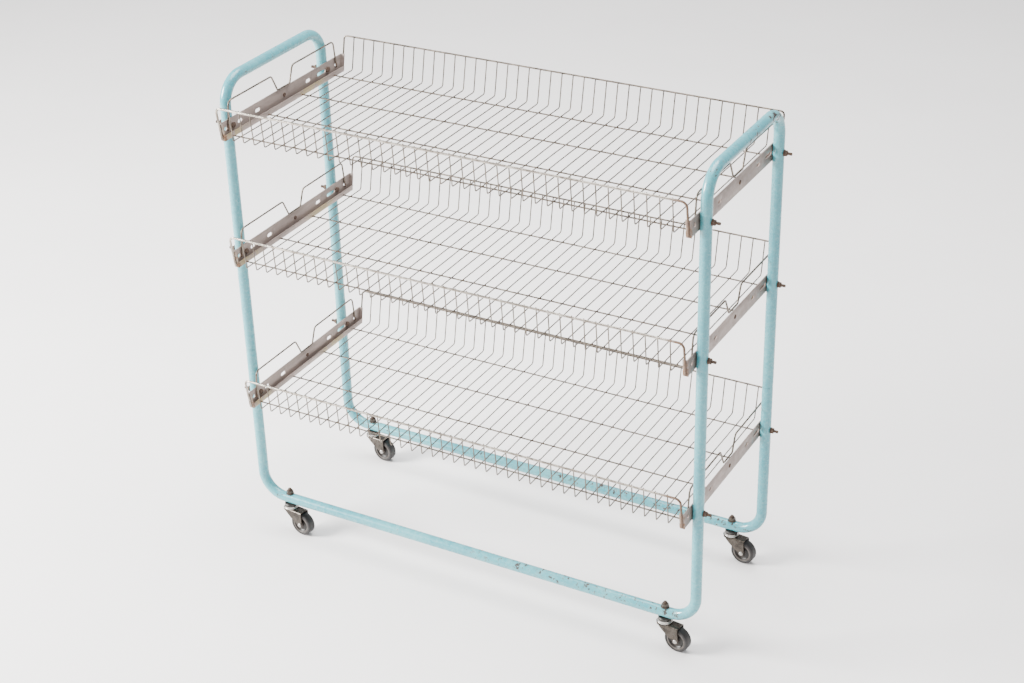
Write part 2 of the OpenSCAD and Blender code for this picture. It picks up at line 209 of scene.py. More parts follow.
def bar(line, radius, sides=12, wear_and_shade=lambda p: 0.0, end_round=0.45):
    """A solid round bar along a line, with softly rounded cut ends."""
    build = Build()
    frames = carried_frames(line)
    first_course = (line[1] - line[0]).normalized()
    last_course = (line[-1] - line[-2]).normalized()
    inset = radius * end_round
    rings = [(line[0], radius - inset, 0), (line[0] + first_course * inset, radius, 0)]
    rings += [(p, radius, i) for i, p in enumerate(line)][1:-1]
    rings += [(line[-1] - last_course * inset, radius, -1), (line[-1], radius - inset, -1)]
    verts = []
    for point, r, i in rings:
        across, up = frames[i]
        for s in range(sides):
            turn = 2 * math.pi * s / sides
            verts.append(point + across * (r * math.cos(turn)) + up * (r * math.sin(turn)))
    faces = ring_faces(len(rings), sides)
    faces.append(list(reversed(range(sides))))
    faces.append([(len(rings) - 1) * sides + s for s in range(sides)])
    build.add(verts, faces, [wear_and_shade(v) for v in verts])
    return build


def pipe(line, radius, wall, sides=48, wear_and_shade=lambda p: 0.0):
    """A hollow tube along a line, its ends eased."""
    build = Build()
    frames = carried_frames(line)
    ease = 0.35 * MM
    outer = [(i, radius - (ease if i in (0, len(line) - 1) else 0)) for i in range(len(line))]
    inner = [(i, radius - wall) for i in reversed(range(len(line)))]
    verts = []
    for i, r in outer + inner:
        across, up = frames[i]
        for s in range(sides):
            turn = 2 * math.pi * s / sides
            verts.append(line[i] + across * (r * math.cos(turn)) + up * (r * math.sin(turn)))
    rings = len(outer) + len(inner)
    faces = ring_faces(rings, sides)
    for s in range(sides):
        a, b = (rings - 1) * sides + s, (rings - 1) * sides + (s + 1) % sides
        faces.append([a, b, (s + 1) % sides, s])
    build.add(verts, faces, [wear_and_shade(v) for v in verts])
    return build


def lathe(profile, sides=64, wear_and_shade=lambda p: 0.0, radius_at=None):
    """Turns a profile of (radius, height) round Z. A radius of 0 closes the end."""
    build = Build()
    verts, rows = [], []
    for r, z in profile:
        if r <= 0:
            rows.append([len(verts)] * sides)
            verts.append(Vector((0, 0, z)))
            continue
        row = []
        for s in range(sides):
            turn = 2 * math.pi * s / sides
            reach = radius_at(turn, r, z) if radius_at else r
            row.append(len(verts))
            verts.append(Vector((reach * math.cos(turn), reach * math.sin(turn), z)))
        rows.append(row)
    faces = []
    for a, b in zip(rows, rows[1:]):
        for s in range(sides):
            t = (s + 1) % sides
            loop = [a[s], a[t], b[t], b[s]]
            faces.append([v for k, v in enumerate(loop) if v not in loop[:k]])
    build.add(verts, [f for f in faces if len(f) > 2], [wear_and_shade(v) for v in verts])
    return build


def arc(cx, cz, radius, start, end, count=8):
    """Points of an arc in a profile, from one angle in degrees to another."""
    turns = [math.radians(start + (end - start) * k / count) for k in range(count + 1)]
    return [(cx + radius * math.cos(t), cz + radius * math.sin(t)) for t in turns]


def blob(centre, size, rust_value=1.0):
    """A small flattened bead, such as a spot weld."""
    build = Build()
    rows, cols = 4, 8
    verts, faces = [centre + Vector((0, 0, size.z))], []
    for r in range(1, rows):
        tilt = math.pi * r / rows
        for c in range(cols):
            turn = 2 * math.pi * c / cols
            verts.append(centre + Vector((size.x * math.sin(tilt) * math.cos(turn),
                                          size.y * math.sin(tilt) * math.sin(turn),
                                          size.z * math.cos(tilt))))
    verts.append(centre - Vector((0, 0, size.z)))
    last = len(verts) - 1
    for c in range(cols):
        d = (c + 1) % cols
        faces.append([0, 1 + c, 1 + d])
        for r in range(rows - 2):
            a = 1 + r * cols
            faces.append([a + c, a + cols + c, a + cols + d, a + d])
        faces.append([last, last - cols + d, last - cols + c])
    build.add(verts, faces, [rust_value] * len(verts))
    return build


def near(value, target, reach):
    """1 at target, fading to 0 at reach from it."""
    return max(0.0, 1 - abs(value - target) / reach)


# ---------------------------------------------------------------- materials


def nodes_of(name):
    material = bpy.data.materials.new(name)
    material.use_nodes = True
    tree = material.node_tree
    tree.nodes.clear()
    output = tree.nodes.new("ShaderNodeOutputMaterial")
    shader = tree.nodes.new("ShaderNodeBsdfPrincipled")
    tree.links.new(shader.outputs[0], output.inputs[0])
    return material, tree, shader


def object_coords(tree, stretch=(1, 1, 1)):
    place = tree.nodes.new("ShaderNodeTexCoord")
    mapping = tree.nodes.new("ShaderNodeMapping")
    mapping.inputs["Scale"].default_value = stretch
    tree.links.new(place.outputs["Object"], mapping.inputs["Vector"])
    return mapping.outputs[0]


def noise_of(tree, coords, scale, detail=4.0, rough=0.6, distortion=0.0):
    node = tree.nodes.new("ShaderNodeTexNoise")
    node.inputs["Scale"].default_value = scale
    node.inputs["Detail"].default_value = detail
    node.inputs["Roughness"].default_value = rough
    node.inputs["Distortion"].default_value = distortion
    tree.links.new(coords, node.inputs["Vector"])
    return node.outputs["Fac"]


def between(tree, value, low, high, to_low=0.0, to_high=1.0):
    node = tree.nodes.new("ShaderNodeMapRange")
    node.interpolation_type = "SMOOTHSTEP"
    for socket, number in zip(("From Min", "From Max", "To Min", "To Max"),
                              (low, high, to_low, to_high)):
        node.inputs[socket].default_value = number
    tree.links.new(value, node.inputs["Value"])
    return node.outputs["Result"]


def maths(tree, operation, a, b):
    node = tree.nodes.new("ShaderNodeMath")
    node.operation = operation
    node.use_clamp = operation in ("ADD", "SUBTRACT", "MULTIPLY")
    for socket, value in zip(node.inputs, (a, b)):
        if isinstance(value, (int, float)):
            socket.default_value = value
        else:
            tree.links.new(value, socket)
    return node.outputs[0]


def mixed(tree, factor, a, b):
    node = tree.nodes.new("ShaderNodeMix")
    node.data_type = "RGBA"
    tree.links.new(factor, node.inputs["Factor"])
    for socket, colour in ((node.inputs[6], a), (node.inputs[7], b)):
        if isinstance(colour, tuple):
            socket.default_value = (*colour, 1)
        else:
            tree.links.new(colour, socket)
    return node.outputs[2]


def bumped(tree, shader, height, strength, distance):
    node = tree.nodes.new("ShaderNodeBump")
    node.inputs["Strength"].default_value = strength
    node.inputs["Distance"].default_value = distance
    tree.links.new(height, node.inputs["Height"])
    tree.links.new(node.outputs[0], shader.inputs["Normal"])


def attribute(tree, name):
    node = tree.nodes.new("ShaderNodeAttribute")
    node.attribute_name = name
    return node.outputs["Fac"]


def paint():
    """Turquoise enamel, mottled and dulled, with chips down to dark steel."""
    material, tree, shader = nodes_of("turquoise_enamel")
    coords = object_coords(tree)
    clouds = between(tree, noise_of(tree, coords, 9, 3), 0.35, 0.68)
    colour = mixed(tree, clouds, (0.052, 0.268, 0.318), (0.082, 0.328, 0.368))
    fine = between(tree, noise_of(tree, coords, 160, 5), 0.42, 0.75)
    colour = mixed(tree, maths(tree, "MULTIPLY", fine, 0.20), colour, (0.34, 0.60, 0.61))
    grime = between(tree, noise_of(tree, coords, 45, 6, 0.7), 0.60, 0.80)
    colour = mixed(tree, maths(tree, "MULTIPLY", grime, 0.35), colour, (0.13, 0.19, 0.165))
    wear = attribute(tree, "wear_and_shade")
    spots = noise_of(tree, object_coords(tree, (1.0, 0.6, 1.0)), 125, 6, 0.65)
    level = maths(tree, "ADD", spots, maths(tree, "MULTIPLY", wear, 0.178))
    chips = between(tree, level, 0.765, 0.785)
    halo = between(tree, level, 0.735, 0.775)
    colour = mixed(tree, maths(tree, "MULTIPLY", halo, 0.5), colour, (0.25, 0.22, 0.16))
    chip_colour = mixed(tree, fine, (0.022, 0.017, 0.014), (0.06, 0.034, 0.022))
    colour = mixed(tree, chips, colour, chip_colour)
    tree.links.new(colour, shader.inputs["Base Color"])
    rough = between(tree, noise_of(tree, coords, 70, 4), 0.3, 0.7, 0.22, 0.38)
    rough = maths(tree, "ADD", rough, maths(tree, "MULTIPLY", chips, 0.4))
    tree.links.new(rough, shader.inputs["Roughness"])
    shader.inputs["Coat Weight"].default_value = 0.35
    shader.inputs["Coat Roughness"].default_value = 0.10
    orange_peel = noise_of(tree, coords, 260, 3)
    height = maths(tree, "SUBTRACT", maths(tree, "MULTIPLY", orange_peel, 0.35), chips)
    bumped(tree, shader, height, 0.35, 0.25 * MM)
    return material


def zinc(name, light, dark, rust_dark, rust_light, rust_start, scale, stretch=(1, 1, 1),
         metal=0.85, rough=(0.28, 0.5), stain=None):
    """Zinc plate gone dull, with rust that spreads from where the mesh is marked."""
    material, tree, shader = nodes_of(name)
    coords = object_coords(tree)
    streaks = between(tree, noise_of(tree, object_coords(tree, stretch), scale, 5), 0.32, 0.68)
    colour = mixed(tree, streaks, dark, light)
    if stain:
        patches = between(tree, noise_of(tree, coords, scale, 5, 0.6, 0.6), 0.36, 0.56)
        patches = maths(tree, "MULTIPLY", patches, attribute(tree, "stain"))
        colour = mixed(tree, maths(tree, "MULTIPLY", patches, 0.8), colour, stain)
    grain = noise_of(tree, coords, 420, 5, 0.7)
    blotches = noise_of(tree, coords, 95, 6, 0.65)
    level = maths(tree, "ADD", maths(tree, "MULTIPLY", blotches, 0.75), attribute(tree, "wear_and_shade"))
    level = maths(tree, "ADD", level, maths(tree, "MULTIPLY", grain, 0.12))
    rusty = between(tree, level, rust_start, rust_start + 0.22)
    rust_tone = mixed(tree, between(tree, grain, 0.35, 0.65), rust_dark, rust_light)
    colour = mixed(tree, rusty, colour, rust_tone)
    tree.links.new(colour, shader.inputs["Base Color"])
    clean = maths(tree, "SUBTRACT", 1.0, rusty)
    tree.links.new(maths(tree, "MULTIPLY", clean, metal), shader.inputs["Metallic"])
    dull = between(tree, noise_of(tree, coords, scale * 2, 4), 0.3, 0.7, *rough)
    tree.links.new(maths(tree, "ADD", dull, maths(tree, "MULTIPLY", rusty, 0.35)),
                   shader.inputs["Roughness"])
    height = maths(tree, "ADD", maths(tree, "MULTIPLY", grain, 0.35),
                   maths(tree, "MULTIPLY", rusty, maths(tree, "MULTIPLY", blotches, 0.9)))
    bumped(tree, shader, height, 0.35, 0.2 * MM)
    return material


def plain_surface(name, light, dark, scale, rough, bump, dust=None, metal=0.0, recess_shade=None):
    """Rubber, plastic or dull steel: two tones, dust, a fine grain and a painted shade in
    recesses.
    """
    material, tree, shader = nodes_of(name)
    coords = object_coords(tree)
    tone = between(tree, noise_of(tree, coords, scale, 5), 0.35, 0.68)
    colour = mixed(tree, tone, dark, light)
    scuffs = between(tree, noise_of(tree, coords, scale * 3, 6, 0.7), 0.52, 0.72)
    if dust:
        colour = mixed(tree, maths(tree, "MULTIPLY", scuffs, 0.6), colour, dust)
    # Painted shade: the recesses that the mesh marks are darkened to near black.
    if recess_shade:
        colour = mixed(tree, attribute(tree, "wear_and_shade"), colour, recess_shade)
    tree.links.new(colour, shader.inputs["Base Color"])
    shader.inputs["Metallic"].default_value = metal
    tree.links.new(between(tree, scuffs, 0, 1, *rough), shader.inputs["Roughness"])
    bumped(tree, shader, noise_of(tree, coords, 900, 4, 0.7), bump, 0.08 * MM)
    return material


PAINT = paint()
WIRE = zinc("zinc_wire", (0.185, 0.153, 0.122), (0.07, 0.056, 0.044), (0.045, 0.025, 0.016),
            (0.12, 0.066, 0.034), 0.78, 60, metal=0.75, rough=(0.24, 0.40))
# The front rails' zinc is a lighter copy of the wire zinc: its lighter colours are a painted
# highlight.
FRONT_WIRE_PAINTED_HIGHLIGHT = zinc("front_rail_zinc_painted_highlight", (0.46, 0.42, 0.365), (0.24, 0.205, 0.17),
                  (0.055, 0.030, 0.019), (0.15, 0.082, 0.042), 0.80, 60, metal=0.8,
                  rough=(0.18, 0.32))
SHEET_ZINC = zinc("zinc_sheet", (0.34, 0.275, 0.245), (0.225, 0.18, 0.16), (0.085, 0.043, 0.024),
                  (0.27, 0.135, 0.06), 0.82, 40, stretch=(1, 0.18, 1), metal=0.35,
                  rough=(0.36, 0.56), stain=(0.34, 0.27, 0.13))
FASTENER = zinc("rusty_fastener", (0.17, 0.137, 0.108), (0.06, 0.046, 0.037),
                (0.040, 0.026, 0.020), (0.11, 0.066, 0.042), 0.46, 220, metal=0.6,
                rough=(0.4, 0.6))
PLATED = zinc("plated_steel", (0.50, 0.48, 0.45), (0.27, 0.25, 0.235), (0.085, 0.06, 0.045),
              (0.17, 0.125, 0.09), 0.72, 70, metal=0.9, rough=(0.2, 0.36))
FORK_STEEL = zinc("fork_steel", (0.088, 0.074, 0.062), (0.036, 0.030, 0.025),
                  (0.035, 0.023, 0.017), (0.07, 0.046, 0.030), 0.74, 70, metal=0.75,
                  rough=(0.22, 0.38))
CASTER_NUT_STEEL = zinc("caster_nut_steel", (0.085, 0.068, 0.053), (0.032, 0.025, 0.020),
                        (0.025, 0.017, 0.013), (0.07, 0.042, 0.027), 0.50, 220, metal=0.4,
                        rough=(0.4, 0.6))
DARK_STEEL = plain_surface("dark_steel", (0.07, 0.066, 0.062), (0.03, 0.028, 0.026), 150,
                           (0.45, 0.65), 0.3, dust=(0.11, 0.085, 0.065), metal=0.6)
RUBBER = plain_surface("tyre_rubber", (0.017, 0.015, 0.0145), (0.009, 0.008, 0.008), 90,
                       (0.5, 0.75), 0.35, dust=(0.036, 0.030, 0.026))
# The near-black recess colour of the wheel centre is a painted shade in the hub's recess.
WHEEL_CENTRE = plain_surface("wheel_centre", (0.105, 0.089, 0.079), (0.058, 0.049, 0.043), 110,
                             (0.42, 0.62), 0.25, dust=(0.13, 0.108, 0.092),
                             recess_shade=(0.014, 0.011, 0.009))


# ---------------------------------------------------------------- camera, lights and floor

CAMERA_PLACE = Vector((1.6603, -2.8786 + LEG_MID_Y, 2.3320))
CAMERA_AZIMUTH = math.radians(29.6375)
CAMERA_ELEVATION = math.radians(29.0064)
CAMERA_ROLL = math.radians(-1.6427)
CAMERA_LENS = 66.45


def add_camera():
    camera = bpy.data.cameras.new("camera")
    camera.lens = CAMERA_LENS
    camera.sensor_width = 36
    camera.clip_end = 60
    holder = bpy.data.objects.new("camera", camera)
    bpy.context.scene.collection.objects.link(holder)
    back = Vector((math.sin(CAMERA_AZIMUTH) * math.cos(CAMERA_ELEVATION),
                   -math.cos(CAMERA_AZIMUTH) * math.cos(CAMERA_ELEVATION),
                   math.sin(CAMERA_ELEVATION)))
    right = (-back).cross(Vector((0, 0, 1))).normalized()
    up = right.cross(-back)
    cos_roll, sin_roll = math.cos(CAMERA_ROLL), math.sin(CAMERA_ROLL)
    turned_right = right * cos_roll + up * sin_roll
    turned_up = up * cos_roll - right * sin_roll
    turn = Matrix((turned_right, turned_up, back)).transposed().to_4x4()
    holder.matrix_world = Matrix.Translation(CAMERA_PLACE) @ turn
    bpy.context.scene.camera = holder


def add_light(name, place, target, size, watts, colour):
    light = bpy.data.lights.new(name, "AREA")
    light.shape = "DISK"
    light.size = size
    light.energy = watts
    light.color = colour
    holder = bpy.data.objects.new(name, light)
    bpy.context.scene.collection.objects.link(holder)
    holder.location = place
    holder.rotation_euler = (Vector(target) - Vector(place)).to_track_quat("-Z", "Y").to_euler()


def add_studio():
    middle = (0, 0, 0.55)
    add_light("key", (-3.6, -2.3, 2.3), middle, 1.9, 880, (1.0, 0.99, 0.97))
    add_light("fill", (3.2, -3.4, 2.6), middle, 3.0, 40, (1.0, 0.95, 0.92))
    add_light("top", (0.0, 0.8, 4.2), middle, 3.0, 340, (1.0, 1.0, 1.0))
    world = bpy.data.worlds.new("studio")
    bpy.context.scene.world = world
    world.use_nodes = True
    sky = world.node_tree.nodes["Background"]
    sky.inputs["Color"].default_value = (0.97, 0.97, 1.0, 1)
    sky.inputs["Strength"].default_value = 0.8


def add_floor():
    mesh = bpy.data.meshes.new("floor")
    half = 14
    mesh.from_pydata([(-half, -half, 0), (half, -half, 0), (half, half, 0), (-half, half, 0)],
                     [], [[0, 1, 2, 3]])
    material, tree, shader = nodes_of("floor")
    coords = object_coords(tree)
    tone = between(tree, noise_of(tree, coords, 1.5, 3), 0.3, 0.7)
    tree.links.new(mixed(tree, tone, (0.87, 0.85, 0.84), (0.90, 0.88, 0.87)),
                   shader.inputs["Base Color"])
    shader.inputs["Roughness"].default_value = 0.75
    mesh.materials.append(material)
    floor = bpy.data.objects.new("floor", mesh)
    bpy.context.scene.collection.objects.link(floor)


add_camera()
add_studio()
add_floor()


# ---------------------------------------------------------------- frame tubes


def chip_wear(point):
    """How worn the paint is: the right handle rail, the bends and the base rails are worst."""
    handle = 0.75
    if point.x > 0:
        handle += 0.6 * max(near(point.y, LEG_MID_Y + 35 * MM, 40 * MM),
                            near(point.y, LEG_BACK_Y - 45 * MM, 35 * MM))
    worn = 0.05 + handle * near(point.z, TOP_RAIL_Z, 0.05)
    worn += (1.1 if point.x > 0 else 0.7) * near(point.z, BASE_RAIL_Z + 6 * MM, 0.03)
    for z in SHELF_Z.values():
        worn += 0.35 * near(point.z, z + BOLT_RISE, 0.05)
    worn += 0.9 * near(point.z, LEG_JOINT_Z, 0.01)
    return min(worn, 1.3)


def add_tubes():
    for side, sign in SIDES.items():
        x = sign * LEG_X
        path = [(x, LEG_FRONT_Y, LEG_JOINT_Z), (x, LEG_FRONT_Y, TOP_RAIL_Z),
                (x, LEG_BACK_Y, TOP_RAIL_Z), (x, LEG_BACK_Y, LEG_JOINT_Z)]
        line = rounded(path, [TUBE_BEND] * 2, 12 * MM, math.radians(5))
        mesh = make_mesh(f"{side}_hoop_tube", pipe(line, TUBE_R, TUBE_WALL, wear_and_shade=chip_wear))
        show(f"{side}_hoop_tube", mesh, ROOT, [f"{side}_hoop"], PAINT)
    for end, y in (("front", LEG_FRONT_Y), ("back", LEG_BACK_Y)):
        path = [(-LEG_X, y, BASE_LEG_TOP_Z), (-LEG_X, y, BASE_RAIL_Z),
                (LEG_X, y, BASE_RAIL_Z), (LEG_X, y, BASE_LEG_TOP_Z)]
        line = rounded(path, [TUBE_BEND] * 2, 12 * MM, math.radians(5))
        mesh = make_mesh(f"{end}_base_tube", pipe(line, TUBE_R, TUBE_WALL, wear_and_shade=chip_wear))
        show(f"{end}_base_tube", mesh, ROOT, [f"{end}_base_rail"], PAINT)


# ---------------------------------------------------------------- shelves

FRONT_RAIL_Y = lower_corner("upper_front_rail").y + FRONT_RAIL_R
BACK_RAIL_Y = upper_corner("upper_back_rail").y - GUARD_R
RAIL_TOP = RAIL_RISE
SLAT_TOP = RAIL_RISE + 2 * MM
SLAT_RISE = CROSS_RISE + CROSS_R + SLAT_R - WELD
SLAT_FOOT_Y = LEG_FRONT_Y - 41 * MM
SLAT_FRONT_Y = FRONT_RAIL_Y + FRONT_RAIL_R + SLAT_R - WELD
SLAT_BACK_Y = BACK_RAIL_Y - GUARD_R - SLAT_R + WELD
SLAT_HEEL_Y = SLAT_BACK_Y - math.tan(BACK_LEAN) * (SLAT_TOP - SLAT_RISE)
GUARD_X = WEB_IN_X - GUARD_R + WELD / 2
GUARD_PATH = [(-182, 14), (-174.6, 73), (-31.5, 73), (-14, 38),
              (28, 38), (41.5, 73), (188.9, 73), (196, 14)]
GUARD_BENDS = [12, 8, 5, 5, 10, 10]


def weld_rust(y, reach=7 * MM):
    return 0.55 * max(near(y, cross, reach) for cross in CROSS_YS)


def slat_rust(point):
    """Deck wires rust where they cross other wires, and at their tops."""
    worn = weld_rust(point.y)
    worn = max(worn, 0.35 * near(point.y, SLAT_FRONT_Y, 2.5 * MM))
    worn = max(worn, 0.30 * near(point.y, SLAT_BACK_Y, 3 * MM))
    return worn


def wavered(line, seed, size):
    """A centre line with the small bends that a used wire has, none at its ends."""
    out = []
    count = len(line) - 1
    for i, point in enumerate(line):
        hold = math.sin(math.pi * i / count)
        sway = noise.noise_vector(Vector((seed * 3.17, 0, 0)) + point * 9)
        out.append(point + Vector((sway.x, 0, sway.z * 0.15)) * size * hold)
    return out


def add_slats(level):
    build = Build()
    base = SHELF_Z[level]
    for k in range(SLAT_COUNT):
        x = (k - (SLAT_COUNT - 1) / 2) * SLAT_PITCH
        path = [(x, SLAT_FRONT_Y, base + SLAT_TOP), (x, SLAT_FOOT_Y, base + SLAT_RISE),
                (x, SLAT_HEEL_Y, base + SLAT_RISE), (x, SLAT_BACK_Y, base + SLAT_TOP)]
        line = rounded(path, [4 * MM, 6 * MM], 7 * MM, math.radians(15))
        line = wavered(line, k + 50 * base, 1.3 * MM)
        wire = bar(line, SLAT_R, 10, slat_rust)
        build.add(wire.verts, wire.faces, wire.wear_and_shade)
        for y in CROSS_YS:
            spot = blob(Vector((x, y, base + CROSS_RISE + CROSS_R)),
                        Vector((1.7 * MM, 1.9 * MM, 0.9 * MM)), 0.8)
            build.add(spot.verts, spot.faces, spot.wear_and_shade)
    show(f"{level}_deck_wires", make_mesh(f"{level}_deck_wires", build), ROOT,
         [f"{level}_slats"], WIRE)


def add_cross_wires(level):
    build = Build()
    z = SHELF_Z[level] + CROSS_RISE
    for y in CROSS_YS:
        line = rounded([(-LIP_X, y, z), (LIP_X, y, z)], [], 6 * MM)

        def worn(point):
            step = point.x / SLAT_PITCH
            at_slat = near(step, round(step), 0.2)
            return max(0.4 * at_slat, 0.6 * near(abs(point.x), LIP_X, 9 * MM))

        wire = bar(line, CROSS_R, 12, worn, 0.1)
        build.add(wire.verts, wire.faces, wire.wear_and_shade)
    show(f"{level}_cross_bars", make_mesh(f"{level}_cross_bars", build), ROOT,
         [f"{level}_cross_wires"], WIRE)


def add_rail(level, end, half_x, top_y, lean, bend, radius, wear_and_shade):
    """A rail stands on the end folds and leans outwards by an angle."""
    out = -1 if end == "front" else 1
    base = SHELF_Z[level]
    foot_y = top_y - out * math.tan(lean) * (RAIL_RISE - RAIL_FOOT_RISE)
    path = [(-half_x, foot_y, base + RAIL_FOOT_RISE), (-half_x, top_y, base + RAIL_TOP),
            (half_x, top_y, base + RAIL_TOP), (half_x, foot_y, base + RAIL_FOOT_RISE)]
    line = rounded(path, [bend] * 2, 6 * MM)
    mesh = make_mesh(f"{level}_{end}_rail_wire", bar(line, radius, 16, wear_and_shade))
    # Front rails take the lighter zinc, whose colours paint their highlight.
    show(f"{level}_{end}_rail_wire", mesh, ROOT, [f"{level}_{end}_rail"],
         FRONT_WIRE_PAINTED_HIGHLIGHT if end == "front" else WIRE)


def front_rail_rust(point):
    """The right end of each front rail and its legs are the rustiest."""
    side = 0.75 * near(point.x, LEG_X - 15 * MM, 75 * MM) if point.x > 0 else 0.0
    leg = 0.5 * near(abs(point.x), WEB_X - 4 * MM, 7 * MM)
    step = point.x / SLAT_PITCH
    return max(side, leg, 0.22 * near(step, round(step), 0.2))


def back_rail_rust(point):
    step = point.x / SLAT_PITCH
    return max(0.3 * near(step, round(step), 0.2), 0.45 * near(abs(point.x), WEB_X, 12 * MM))


def add_guard(level, side, sign):
    base = SHELF_Z[level]
    path = [(sign * GUARD_X, LEG_MID_Y + y * MM, base + h * MM) for y, h in GUARD_PATH]
    line = rounded(path, [r * MM for r in GUARD_BENDS], 6 * MM)

    def worn(point):
        return 0.55 * near(point.z - base, 20 * MM, 26 * MM)

    mesh = make_mesh(f"{level}_{side}_guard_wire", bar(line, GUARD_R, 14, worn))
    show(f"{level}_{side}_guard_wire", mesh, ROOT, [f"{level}_{side}_guard"], WIRE)


def edge_y(end, rise):
    """Y of a bracket's outer edge at a height above the shelf's bottom."""
    if end == "front":
        return LEG_FRONT_Y - 36.5 * MM - math.tan(FRONT_LEAN) * rise
    return LEG_BACK_Y + 48 * MM + math.tan(BACK_LEAN) * rise


def bracket_profile():
    """The channel's section in X and rise, as one closed loop with rounded folds."""
    fold, inner = 2.6 * MM, 0.7 * MM
    outer_right = [(WEB_X - fold + fold * math.sin(t), fold - fold * math.cos(t))
                   for t in (math.radians(90 - 15 * k) for k in range(7))]
    outer_left = [(LIP_X + fold - fold * math.sin(t), fold - fold * math.cos(t))
                  for t in (math.radians(15 * k) for k in range(7))]
    inner_left = [(LIP_X + SHEET + inner - inner * math.sin(t),
                   SHEET + inner - inner * math.cos(t))
                  for t in (math.radians(90 - 30 * k) for k in range(4))]
    inner_right = [(WEB_IN_X - inner + inner * math.sin(t), SHEET + inner - inner * math.cos(t))
                   for t in (math.radians(30 * k) for k in range(4))]
    return ([(WEB_X, BRACKET_H)] + outer_right + outer_left + [(LIP_X, LIP_H)]
            + [(LIP_X + SHEET, LIP_H)] + inner_left + inner_right + [(WEB_IN_X, BRACKET_H)])


def solid(name, verts, faces):
    mesh = bpy.data.meshes.new(name)
    mesh.from_pydata([tuple(v) for v in verts], [], faces)
    work = bmesh.new()
    work.from_mesh(mesh)
    bmesh.ops.recalc_face_normals(work, faces=work.faces)
    work.to_mesh(mesh)
    work.free()
    item = bpy.data.objects.new(name, mesh)
    bpy.context.scene.collection.objects.link(item)
    return item


def channel_solid():
    profile = bracket_profile()
    count = len(profile)
    cuts = 24
    verts = []
    for k in range(cuts + 1):
        for x, rise in profile:
            front = edge_y("front", rise) + SHEET * 0.4
            back = edge_y("back", rise) - SHEET * 0.4
            verts.append((x, front + (back - front) * k / cuts, rise))
    faces = ring_faces(cuts + 1, count)
    faces.append(list(range(count)))
    faces.append([cuts * count + i for i in range(count)])
    return solid("channel", verts, faces)


def fold_solid(end):
    """The flap that closes an end of the channel, its outer corner rounded."""
    inward = 1 if end == "front" else -1
    left, right, soft = WEB_X - FOLD_W, WEB_X, 1.4 * MM
    turns = [math.radians(15 * k) for k in range(7)]
    outer = [(right - soft + soft * math.cos(t), soft - soft * math.sin(t)) for t in turns]
    section = [(left, SHEET), (right, SHEET)] + outer + [(left, 0)]
    verts = []
    for rise in (0, BRACKET_H):
        for x, depth in section:
            verts.append((x, edge_y(end, rise) + inward * depth, rise))
    count = len(section)
    faces = ring_faces(2, count)
    faces.append(list(range(count)))
    faces.append([count + i for i in range(count)])
    return solid(f"{end}_fold", verts, faces)


def slot_solid(y, length, height=8 * MM):
    """A round-ended cutter through the web, at the height of the bolts."""
    half, radius = (length - height) / 2, height / 2
    loop = []
    for k in range(24):
        turn = 2 * math.pi * (k + 0.5) / 24
        shift = half if math.cos(turn) > 0 else -half
        loop.append((y + shift + radius * math.cos(turn), BOLT_RISE + radius * math.sin(turn)))
    verts = [(x, a, b) for x in (WEB_IN_X - 2 * MM, WEB_X + 2 * MM) for a, b in loop]
    faces = ring_faces(2, 24)
    faces.append(list(range(24)))
    faces.append([24 + i for i in range(24)])
    return solid("slot", verts, faces)


def applied(item):
    """The mesh that an object's modifiers give, and the object removed."""
    bpy.context.view_layer.update()
    seen = item.evaluated_get(bpy.context.evaluated_depsgraph_get())
    mesh = bpy.data.meshes.new_from_object(seen)
    bpy.data.objects.remove(item)
    return mesh


def carve(item, other, operation):
    cut = item.modifiers.new(operation, "BOOLEAN")
    cut.operation = operation
    cut.solver = "EXACT"
    cut.object = other


def bracket_mesh():
    """One right-hand bracket at rise 0, which the six brackets share."""
    channel = channel_solid()
    others = [fold_solid("front"), fold_solid("back")]
    for other in others:
        carve(channel, other, "UNION")
    slots = [(LEG_FRONT_Y - 23 * MM, 8), (LEG_MID_Y - 141 * MM, 14), (LEG_MID_Y - 82 * MM, 16),
             (LEG_MID_Y + 94 * MM, 16), (LEG_MID_Y + 143 * MM, 30), (LEG_BACK_Y + 31 * MM, 8)]
    for y, length in slots:
        cutter = slot_solid(y, length * MM)
        others.append(cutter)
        carve(channel, cutter, "DIFFERENCE")
    soften = channel.modifiers.new("soften", "BEVEL")
    soften.width = 0.3 * MM
    soften.segments = 2
    soften.limit_method = "ANGLE"
    soften.angle_limit = math.radians(40)
    mesh = applied(channel)
    for other in others:
        bpy.data.objects.remove(other)
    return mesh


def bracket_stain(point):
    """Yellow passivation left on the lip, near the front and behind the middle."""
    if point.x > LIP_X + 3 * MM:
        return 0.0
    front = near(point.y, LEG_FRONT_Y - 5 * MM, 45 * MM)
    back = near(point.y, LEG_BACK_Y - 75 * MM, 60 * MM)
    return min(1.0, 1.6 * max(front, back))


def bracket_rust(point):
    """Rust on the front fold, at the holes and along the bottom edge."""
    front = 0.56 * near(point.y, edge_y("front", 0), 16 * MM)
    back = 0.30 * near(point.y, edge_y("back", 0), 14 * MM)
    lip = 0.22 if point.x < LIP_X + 2.5 * MM else 0.0
    bolt = 0.30 * max(near(point.y, y, 14 * MM) for y in (LEG_FRONT_Y, LEG_BACK_Y))
    middle = 0.25 * near(point.y, LEG_MID_Y + 9 * MM, 26 * MM)
    return max(front, back, lip, bolt, middle)


